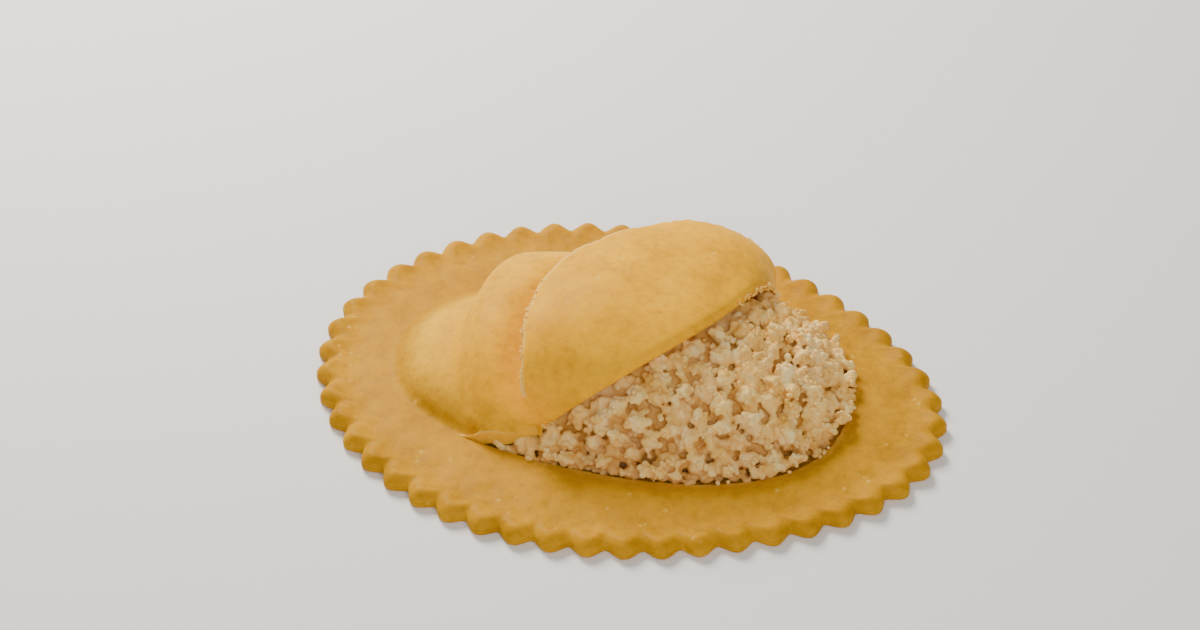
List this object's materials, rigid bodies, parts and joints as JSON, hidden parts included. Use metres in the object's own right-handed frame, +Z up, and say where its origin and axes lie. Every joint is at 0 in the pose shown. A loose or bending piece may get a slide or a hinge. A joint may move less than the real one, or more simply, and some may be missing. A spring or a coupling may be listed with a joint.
{
  "type": "stuffed pasta pocket",
  "caption": "Oval filled pasta pocket with a fluted flange, its dome cut along the foot and folded back to show the crumbly filling.",
  "frame": {"origin": "on the resting plane, under the middle of the fluted oval", "axes": "+X along the oval, towards the opened end, +Y across it towards the back, +Z up"},
  "size_m": [0.0762, 0.0586, 0.0166],
  "materials": {
    "bottom_dough": "soft matte",
    "top_dough": "soft satin",
    "filling": "rough matte"
  },
  "bodies": {
    "root": {"bottom_sheet": "bottom_dough", "top_sheet": "top_dough", "filling": "filling"}
  },
  "joints": []
}
